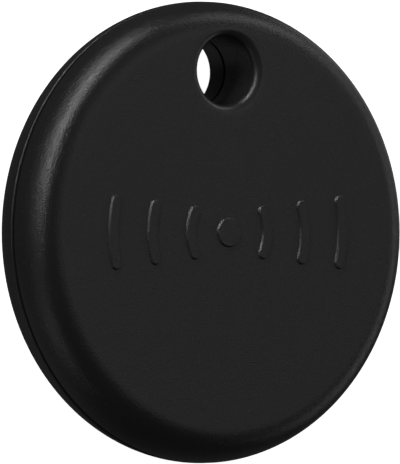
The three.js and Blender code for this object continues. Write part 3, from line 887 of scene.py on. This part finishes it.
PART_FOOT = board_high + SOLDER_FILM
PAD_FOOT = board_high - 0.04
CHIP_AT = (7, -4.5)
CHIP_SIZE = (5, 0.6)
CHIP_PADS = 12
CHIP_PITCH = 0.38
COIL_AT = (-7.5, -5)
COIL_SIZE = (3, 0.65)
COIL_CORE = (0.95, 1.15)
TRANSISTOR_AT = (-7.5, -0.4)
TRANSISTOR_LEGS = ((-0.75, -1), (0.75, -1), (0, 1))
LEG_THICKNESS = 0.09
LEG_WIDTH = 0.3
CAPACITORS = ((3.2, -5.6), (3.2, -4.4), (11.6, -2.6), (11.6, -6.4), (7, -0.9), (-4.2, -5))
RESISTORS = ((-7.6, 5.8), (-4.2, -0.4), (-10.6, -0.4), (3.2, -8))


def tile(name, at, size, corner, edge, bottom=PART_FOOT):
    """A small pressed or moulded block, rounded in plan and along its top edges."""
    width, depth, height = size
    rings = []
    for inset, level in rounded([(0, 0), (0, height), (4 * edge, height)], edge, closed=False):
        x = width / 2 - inset
        y = depth / 2 - inset
        plan = rounded([(-x, -y), (x, -y), (x, y), (-x, y)], corner)
        rings.append(np.array([(at[0] + px, at[1] + py, bottom + level) for px, py in plan]))
    return skin(name, rings, looped=False)


def moulded_resin():
    """Chip resin: black epoxy full of silica, dull with tiny bright grains."""
    finish = Finish("moulded_resin")
    silica = grain(finish, 0.05, 2)
    cloud = grain(finish, 0.9, 3)
    pale = (silica > 0.63) * 0.5 + cloud * 0.15
    colour = mix(finish, pale, (0.012, 0.012, 0.013), (0.06, 0.06, 0.062))
    return finish.shader(
        Base_Color=colour, Roughness=cloud * 0.15 + 0.45, Normal=bump(finish, silica, 0.4, 0.012))


def dull_tin():
    """Reflowed solder and tin plate: satin grey with a crystalline cloud."""
    finish = Finish("dull_tin")
    sockets = {"Vector": place_of(finish), "Scale": 1 / (0.12 * MM)}
    crystals = finish.node("ShaderNodeTexVoronoi", {}, sockets)
    colour = mix(finish, crystals, (0.6, 0.6, 0.6), (0.42, 0.42, 0.43))
    return finish.shader(
        Base_Color=colour, Metallic=1.0, Roughness=crystals * 0.2 + 0.25,
        Normal=bump(finish, crystals, 0.3, 0.01))


def lid_nickel():
    """Nickel-plated lid: drawn sheet with fine straight brushing."""
    finish = Finish("lid_nickel")
    brushing = stretched(finish, (0.5, 30, 30), 3)
    colour = mix(finish, brushing, (0.5, 0.49, 0.46), (0.64, 0.62, 0.58))
    return finish.shader(
        Base_Color=colour, Metallic=1.0, Roughness=brushing * 0.2 + 0.2,
        Normal=bump(finish, brushing, 0.3, 0.005))


def fired_ceramic(name, dark, pale, grain_size):
    """Fired ceramic: an even, slightly pitted body."""
    finish = Finish(name)
    pits = grain(finish, grain_size, 3)
    cloud = grain(finish, 0.7, 2)
    return finish.shader(
        Base_Color=mix(finish, cloud, dark, pale), Roughness=pits * 0.2 + 0.4,
        Normal=bump(finish, pits, 0.35, 0.01))


resin = moulded_resin()
solder = dull_tin()
lid = lid_nickel()
crystal_base = fired_ceramic("crystal_base", (0.1, 0.08, 0.06), (0.15, 0.12, 0.09), 0.06)
ferrite = fired_ceramic("ferrite", (0.03, 0.03, 0.033), (0.055, 0.054, 0.055), 0.08)
antenna_white = fired_ceramic("antenna_white", (0.7, 0.7, 0.66), (0.8, 0.8, 0.77), 0.07)
capacitor_tan = fired_ceramic("capacitor_tan", (0.3, 0.2, 0.12), (0.38, 0.26, 0.16), 0.05)
resistor_white = fired_ceramic("resistor_white", (0.66, 0.66, 0.65), (0.76, 0.76, 0.75), 0.05)


def solder_part(name, body, others):
    """Joins the shapes of one part and lets it stand for its CAD node on the board."""
    join(body, others)
    body.name = name + "_part"
    dress(body, "inner_core", name)


def radio_chip():
    """A leadless package, 5 mm square, with twelve gold pads along each side and a
    dimple at its first pad."""
    side, height = CHIP_SIZE
    x, y = CHIP_AT
    body = tile("chip", CHIP_AT, (side - 0.06, side - 0.06, height), 0.08, 0.05)
    dimple = turned("dimple", [(0.3, PART_FOOT + height - 0.04), (0.34, 7)], (x - 1.95, y + 1.95), steps=32)
    merge(body, [dimple], "DIFFERENCE")
    pads = []
    for number in range(CHIP_PADS):
        along = (number - (CHIP_PADS - 1) / 2) * CHIP_PITCH
        for reach in (-side / 2 + 0.12, side / 2 - 0.12):
            pads.append(tile("pad", (x + along, y + reach), (0.2, 0.24, 0.18), 0.05, 0.02))
            pads.append(tile("pad", (x + reach, y + along), (0.24, 0.2, 0.18), 0.05, 0.02))
    for pad in pads:
        coat(pad, pad_gold)
    solder_part("bluetooth_chip", coat(smooth(body), resin), pads)


def crystal(name, at, size):
    """A quartz crystal: a ceramic tray under a metal lid, with a pad at each corner."""
    width, depth, height = size
    tray = tile("tray", at, (width, depth, height * 0.55), 0.12, 0.03)
    lid_foot = PART_FOOT + height * 0.54
    top = tile("lid", at, (width - 0.3, depth - 0.3, height * 0.46), 0.2, 0.05, lid_foot)
    pads = []
    for x in (-1, 1):
        for y in (-1, 1):
            corner = (at[0] + x * (width / 2 - 0.3), at[1] + y * (depth / 2 - 0.25))
            pads.append(coat(tile("pad", corner, (0.5, 0.44, 0.07), 0.06, 0.02, PAD_FOOT), pad_gold))
    solder_part(name, coat(smooth(tray), crystal_base), [coat(smooth(top), lid), *pads])


def plated_block(name, at, size, middle_finish, end=0.24):
    """A ceramic chip part: its middle is a little slimmer than its two plated ends."""
    width, depth, height = size
    middle = tile("middle", at, (width - 0.1, depth - 0.03, height - 0.015), 0.05, 0.03)
    ends = []
    for side in (-1, 1):
        place = (at[0] + side * (width - end) / 2, at[1])
        ends.append(coat(smooth(tile("end", place, (end, depth, height), 0.06, 0.04)), solder))
    solder_part(name, coat(smooth(middle), middle_finish), ends)


def drive_coil():
    """A shielded coil: a ferrite frame, its round drum core in a ring of black resin."""
    side, height = COIL_SIZE
    inner, outer = COIL_CORE
    top = PART_FOOT + height
    frame_block = tile("coil_frame", COIL_AT, (side, side - 0.02, height), 0.3, 0.05)
    groove = washer("groove", inner, outer, (top - 0.08, 7), 0.02, COIL_AT)
    merge(frame_block, [groove], "DIFFERENCE")
    filling = washer("filling", inner - 0.01, outer + 0.01, (PART_FOOT + 0.2, top - 0.05), 0.02, COIL_AT)
    feet = []
    for across in (-1.15, 1.15):
        place = (COIL_AT[0] + across, COIL_AT[1])
        feet.append(coat(tile("foot", place, (0.6, 2.4, 0.06), 0.08, 0.02, PAD_FOOT), solder))
    solder_part("boost_inductor", coat(smooth(frame_block), ferrite),
                [coat(smooth(filling), resin), *feet])


def drive_transistor():
    """A three-legged resin package; the legs step down to the board."""
    middle_x, middle_y = TRANSISTOR_AT
    body = tile("body", TRANSISTOR_AT, (2.4, 0.86, 0.5), 0.06, 0.08, PART_FOOT + 0.1)
    line = np.array(rounded([(0.3, 0.26), (0.5, 0.26), (0.54, 0.05), (0.65, 0.05)], 0.06, closed=False))
    half_up = (0, LEG_THICKNESS / 2)
    outline = np.vstack((line + half_up, (line - half_up)[::-1]))
    legs = []
    for x, side in TRANSISTOR_LEGS:
        rings = [np.array([(middle_x + x + across, middle_y + side * out, PART_FOOT + up)
                           for out, up in outline])
                 for across in (-LEG_WIDTH / 2, LEG_WIDTH / 2)]
        legs.append(coat(skin("leg", rings, looped=False), solder))
    solder_part("drive_transistor", coat(smooth(body), resin), legs)


radio_chip()
crystal("radio_crystal", (11.6, -4.5), (2, 1.6, 0.5))
crystal("clock_crystal", (7, -9.4), (3.2, 1.5, 0.6))
drive_coil()
drive_transistor()
plated_block("chip_antenna", (-10.2, 8), (3.2, 1.6, 0.5), antenna_white, 0.5)
for number, at in enumerate(CAPACITORS, 1):
    plated_block(f"capacitor_{number}", at, (1, 0.5, 0.5), capacitor_tan)
for number, at in enumerate(RESISTORS, 1):
    plated_block(f"resistor_{number}", at, (1, 0.5, 0.35), resistor_white, 0.2)

# ---- Switch ----------------------------------------------------------------------------
# A low tact switch in the middle of the board: a black resin base with four feet, a steel
# frame staked over it, and the pale plunger that the front cover pushes down.

SWITCH_SIZE = (3.4, 2.8)
SWITCH_LEVELS = (5.52, 5.92)
SWITCH_PLATE = (5.94, 6.02)
SWITCH_WELL = 0.85
PLUNGER_RADIUS = 0.75
PLUNGER_LEVELS = (5.85, 6.3)


def plunger_nylon():
    """Natural nylon: warm white and slightly waxy."""
    finish = Finish("plunger_nylon")
    cloud = grain(finish, 0.4, 3)
    return finish.shader(
        Base_Color=mix(finish, cloud, (0.62, 0.59, 0.5), (0.74, 0.71, 0.63)),
        Roughness=cloud * 0.15 + 0.35, Normal=bump(finish, cloud, 0.2, 0.01))


width, depth = SWITCH_SIZE
foot, rim = SWITCH_LEVELS
plate_low, plate_high = SWITCH_PLATE
switch_base = tile("tact_base", (0, 0), (width, depth - 0.1, rim - foot), 0.3, 0.03)
well = turned("well", [(SWITCH_WELL, foot + 0.1), (SWITCH_WELL, 7)], steps=48)
merge(switch_base, [well], "DIFFERENCE")
foot_y = depth / 2 - 0.12
feet = [coat(tile("switch_foot", (x, y), (0.5, 0.24, 0.12), 0.05, 0.02), solder)
        for x in (-1.2, 1.2) for y in (-foot_y, foot_y)]
join(coat(smooth(switch_base), resin), feet)
dress(switch_base, "inner_core", "switch_base")
switch_plate = tile("tact_frame", (0, 0), (width, depth, plate_high - plate_low), 0.35, 0.012, plate_low)
plate_hole = turned("plate_hole", [(SWITCH_WELL, 5.8), (SWITCH_WELL, 7)], steps=48)
stake_holes = [turned("stake_hole", [(0.13, 5.8), (0.13, 7)], (x, y), steps=24)
               for x in (-1.38, 1.38) for y in (-1.08, 1.08)]
merge(switch_plate, [plate_hole, *stake_holes], "DIFFERENCE")
dress(smooth(switch_plate), "inner_core", "switch_frame", lid)
low, high = PLUNGER_LEVELS
plunger = turned("tact_plunger", rounded([
    (PLUNGER_RADIUS - 0.08, low), (PLUNGER_RADIUS, low + 0.08), (PLUNGER_RADIUS, high - 0.08),
    (PLUNGER_RADIUS - 0.12, high), (0.3, high), (0.26, high - 0.03), (0.1, high - 0.03)],
    0.04, closed=False), steps=48)
dress(smooth(plunger), "front_face", "switch_plunger", plunger_nylon())

# ---- Coin cell -------------------------------------------------------------------------
# A lithium coin cell of the 2032 size, cap up: a nickel-plated steel can with a plus sign
# pressed into it, crimped over a nylon seal and the smaller cap.

CELL_RADIUS = 10
CELL_LEVELS = (1.45, 4.65)
CELL_CENTRE = (0, CELL_Y)
CAN_WALL = 0.25
CELL_GAP = 0.02
CAN_TOP = 4.3
CRIMP_RADIUS = 9.45
CAP_RADIUS = 8.9
PLUS_ARM = 1.5
PLUS_BAR = 0.35


def cell_nickel(name, turned_face):
    """Nickel-plated steel: drawn sheet with concentric polishing on its flat and light
    scratches from handling."""
    finish = Finish(name)
    rings = finish.node("ShaderNodeTexNoise", {"noise_dimensions": "1D"}, {
        "W": off_axis(finish, CELL_CENTRE), "Scale": turned_face, "Detail": 3.0})
    scratches = stretched(finish, (0.3, 6, 6), 4)
    cloud = grain(finish, 5, 3)
    colour = mix(finish, cloud, (0.5, 0.49, 0.47), (0.63, 0.62, 0.6))
    return finish.shader(
        Base_Color=colour, Metallic=1.0, Roughness=rings * 0.16 + scratches * 0.14 + 0.12,
        Normal=bump(finish, rings * 0.6 + scratches * 0.4, 0.3, 0.008))


def seal_nylon():
    """The grommet between can and cap: translucent grey-green nylon."""
    finish = Finish("seal_nylon")
    cloud = grain(finish, 0.8, 3)
    return finish.shader(
        Base_Color=mix(finish, cloud, (0.1, 0.12, 0.11), (0.17, 0.2, 0.18)),
        Roughness=cloud * 0.2 + 0.35, Normal=bump(finish, cloud, 0.2, 0.01))


low, high = CELL_LEVELS
inner = CELL_RADIUS - CAN_WALL
can = turned("cell_can", rounded([
    (inner - 2, low), (CELL_RADIUS, low), (CELL_RADIUS, CAN_TOP - 0.35), (CRIMP_RADIUS + 0.1, CAN_TOP),
    (CRIMP_RADIUS, CAN_TOP - 0.15), (inner, CAN_TOP - 0.45), (inner, low + CAN_WALL),
    (inner - 2, low + CAN_WALL)], 0.28, closed=False, steps=5), CELL_CENTRE, steps=SEGMENTS)
plus_bars = []
for x, y in ((PLUS_ARM, PLUS_BAR / 2), (PLUS_BAR / 2, PLUS_ARM)):
    corners = oblong((-x, CELL_Y - y), (x, CELL_Y + y))
    plus_bars.append(slab("plus_bar", rounded(corners, 0.15), 1, low + 0.06))
merge(plus_bars[0], [plus_bars[1]])
merge(can, [plus_bars[0]], "DIFFERENCE")
dress(smooth(can), "coin_cell", "coin_cell_can", cell_nickel("can_nickel", 9.0))
foot = low + CAN_WALL + CELL_GAP
seal_inner = CAP_RADIUS + 0.05
seal = turned("cell_seal", rounded([
    (seal_inner, foot), (inner - 0.05, foot), (inner - 0.05, high - 0.9), (seal_inner + 0.4, high - 0.5),
    (seal_inner + 0.3, high - 0.3), (seal_inner, high - 0.3)], 0.06), CELL_CENTRE, looped=True)
dress(smooth(seal), "coin_cell", "coin_cell_seal", seal_nylon())
cap = turned("cell_cap", rounded([
    (7, foot), (CAP_RADIUS, foot), (CAP_RADIUS, high), (8.2, high), (8.05, high - 0.06), (7, high - 0.06)],
    0.3, closed=False, steps=5), CELL_CENTRE, steps=SEGMENTS)
dress(smooth(cap), "coin_cell", "coin_cell_cap", cell_nickel("cap_nickel", 14.0))

# ---- Front cover -----------------------------------------------------------------------
# The upper half of the case, the part that clicks: the same black moulding, with a boss
# under its middle that presses the switch and four legs that hook under the inner frame.
# A beacon mark, a dot between sound waves, stands up from its face.

MARK_HEIGHT = 0.18
MARK_SLOPE = 0.13
MARK_HALF_STROKE = 0.525
MARK_DOT = 1.25
MARK_ROOT = 0.3
MARK_STEP = 0.02
MARK_WAVES = ((3.9, 1.75), (7.8, 2.2), (11.7, 2.6))
STROKE_STEPS = 27
DOT_STEPS = 48
END_STEPS = 9
BOSS_RADIUS = 1.2
BOSS_FOOT = 6.32
BOSS_ROOT = 6.8
HOOK_TURNS = (15, 165, 235, 305)
HOOK_HALF_WIDTH = 1.5
HOOK_SECTION = (
    (17.12, 4.55), (18.05, 4.55), (18.05, 5.9), (17.5, 5.9), (17.5, 5.0), (17.42, 4.8), (17.12, 4.8))


def wave_outline(radius, rise, half_width, side):
    """Outline of an arc-shaped stroke with round ends, on one side of the dot."""
    reach = math.degrees(math.asin(rise / radius))
    end_x = radius * math.cos(math.radians(reach))
    points = arc(0, 0, radius + half_width, -reach, reach, STROKE_STEPS)
    points += arc(end_x, rise, half_width, reach, reach + 180, END_STEPS)[1:-1]
    points += arc(0, 0, radius - half_width, reach, -reach, STROKE_STEPS)
    points += arc(end_x, -rise, half_width, 180 - reach, 360 - reach, END_STEPS)[1:-1]
    return [(side * x, y) for x, y in points]


def raised(name, outline, full, face):
    """A closed relief over an outline: a low step at its full width, then a straight bevel."""
    bevel_top = (MARK_SLOPE, MARK_HEIGHT)
    plateau = (MARK_SLOPE + MARK_STEP, MARK_HEIGHT)
    profile = [(0, -MARK_ROOT), (0, MARK_STEP), bevel_top, plateau]
    rings = [np.array([(x, y, face + height) for x, y in outline(full - inset)])
             for inset, height in profile]
    return skin(name, rings, looped=False)


def beacon_mark(face):
    """The dot and the waves on both sides of it."""
    def dot(radius):
        return arc(0, 0, radius, 0, 360, DOT_STEPS)[:-1]

    reliefs = [raised("dot", dot, MARK_DOT, face)]
    for radius, rise in MARK_WAVES:
        for side in (-1, 1):
            reliefs.append(raised(
                "wave", lambda half, r=radius, h=rise, s=side: wave_outline(r, h, half, s),
                MARK_HALF_STROKE, face))
    return reliefs


def hook_leg(turn_by):
    """A leg inside the side wall, with a barb that points inwards under the flange."""
    cosine = math.cos(math.radians(turn_by))
    sine = math.sin(math.radians(turn_by))
    rings = [np.array([(r * cosine - across * sine, r * sine + across * cosine, h)
                       for r, h in rounded(HOOK_SECTION, 0.06)])
             for across in (-HOOK_HALF_WIDTH, HOOK_HALF_WIDTH)]
    return skin("hook_leg", rings, looped=False)


front_shell = half_case("front_shell", 1, FRONT_SEAM, FRONT_TUBE_END)
front_face = mid_plane / MM + HALF_THICKNESS
boss_profile = [(BOSS_RADIUS * 0.4, BOSS_FOOT), (BOSS_RADIUS, BOSS_FOOT), (BOSS_RADIUS, BOSS_ROOT)]
boss = turned("boss", rounded(boss_profile, 0.12, closed=False), steps=48)
merge(front_shell, [*beacon_mark(front_face), boss, *(hook_leg(turn_by) for turn_by in HOOK_TURNS)])
dress(smooth(front_shell), "front_face", "front_cover", case_black)
